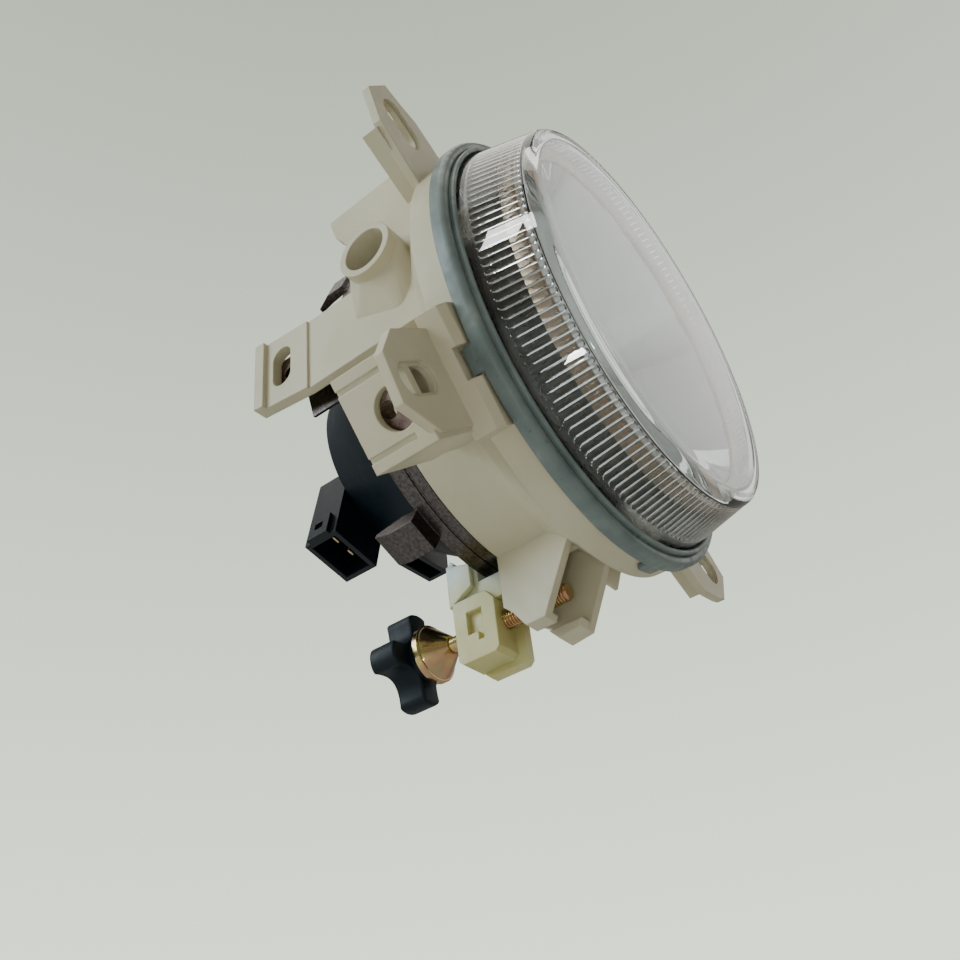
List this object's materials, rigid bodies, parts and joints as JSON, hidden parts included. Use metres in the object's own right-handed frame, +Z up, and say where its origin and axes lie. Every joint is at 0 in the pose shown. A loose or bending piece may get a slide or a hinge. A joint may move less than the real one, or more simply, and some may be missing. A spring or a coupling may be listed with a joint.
{
  "type": "fog light",
  "caption": "Round car fog lamp with a fluted glass lens, rubber gasket, moulded housing with slotted ears, twist-off rear ring and a knob-turned aim adjuster.",
  "frame": {"origin": "on the lens axis, in the plane of the gasket's rear face", "axes": "+Y to the rear of the lamp along the lens axis, the lens faces -Y; +X to the right seen from the front; +Z up"},
  "size_m": [0.196, 0.1348, 0.1797],
  "materials": {
    "beige_plastic": "fine satin moulding, slightly soft edges",
    "clear_glass": "clear pressed glass with a fluted side wall",
    "grey_rubber": "satin rubber with bright handling marks",
    "bright_metal": "bright vacuum metal",
    "carrier_steel": "plain stamped steel",
    "steel": "zinc plated",
    "copper_rim": "bright rim with a copper reflection",
    "brass": "plain stamped brass",
    "bulb_glass": "clear",
    "tungsten": "fine drawn wire",
    "spring_steel": "drawn spring wire",
    "black_rubber": "satin",
    "brown_rubber": "satin",
    "navy_plastic": "blue-black satin",
    "dark_chrome": "dark bright finish, finely speckled",
    "black_plastic": "satin",
    "nylon": "translucent, milky",
    "zinc_yellow": "yellow zinc passivate with a coppery tint"
  },
  "bodies": {
    "lamp": {"housing": "beige_plastic", "lens_glass": "clear_glass", "lens_gasket": "grey_rubber", "reflector_bowl": "bright_metal", "reflector_carrier": "carrier_steel", "carrier_screws": "steel", "lens_bezel": "copper_rim", "bulb_shield": "bright_metal", "bulb_holder_plate": "steel", "holder_rivets": "steel", "bulb_base": "brass", "bulb_glass": "bulb_glass", "bulb_filament": "tungsten", "bulb_lead": "black_rubber", "earth_lead": "brown_rubber", "rear_cap": "navy_plastic", "cap_seal": "black_rubber", "main_connector": "black_plastic", "main_terminals": "brass", "second_connector": "black_plastic", "second_terminals": "brass", "clip_nuts": "steel", "adjuster_nut": "nylon"},
    "ring": {"retaining_ring": "dark_chrome"},
    "clip": {"bulb_clip": "spring_steel"},
    "collar": {"adjuster_collar": "zinc_yellow"},
    "screw": {"adjuster_screw": "zinc_yellow", "adjuster_knob": "navy_plastic"}
  },
  "joints": [
    {"name": "ring_twist", "type": "hinge", "parent": "lamp", "child": "ring", "pos_m": [0, 0.045, 0], "axis": [0, -1, 0], "range_deg": [-25, 0]},
    {"name": "bulb_clip_swing", "type": "hinge", "parent": "lamp", "child": "clip", "pos_m": [0, 0.05175, -0.017], "axis": [-1, 0, 0], "range_deg": [0, 60]},
    {"name": "adjuster_travel", "type": "slide", "parent": "lamp", "child": "collar", "axis": [0, -1, 0], "range_m": [-0.014, 0.0012]},
    {"name": "adjuster_turn", "type": "hinge", "parent": "collar", "child": "screw", "pos_m": [0, 0.07, -0.084], "axis": [0, -1, 0], "range_deg": [-5040.6, 432.6]}
  ],
  "couplings": [
    {"joint": "adjuster_turn", "follows": "adjuster_travel", "rad_per_m": 6283.2}
  ]
}
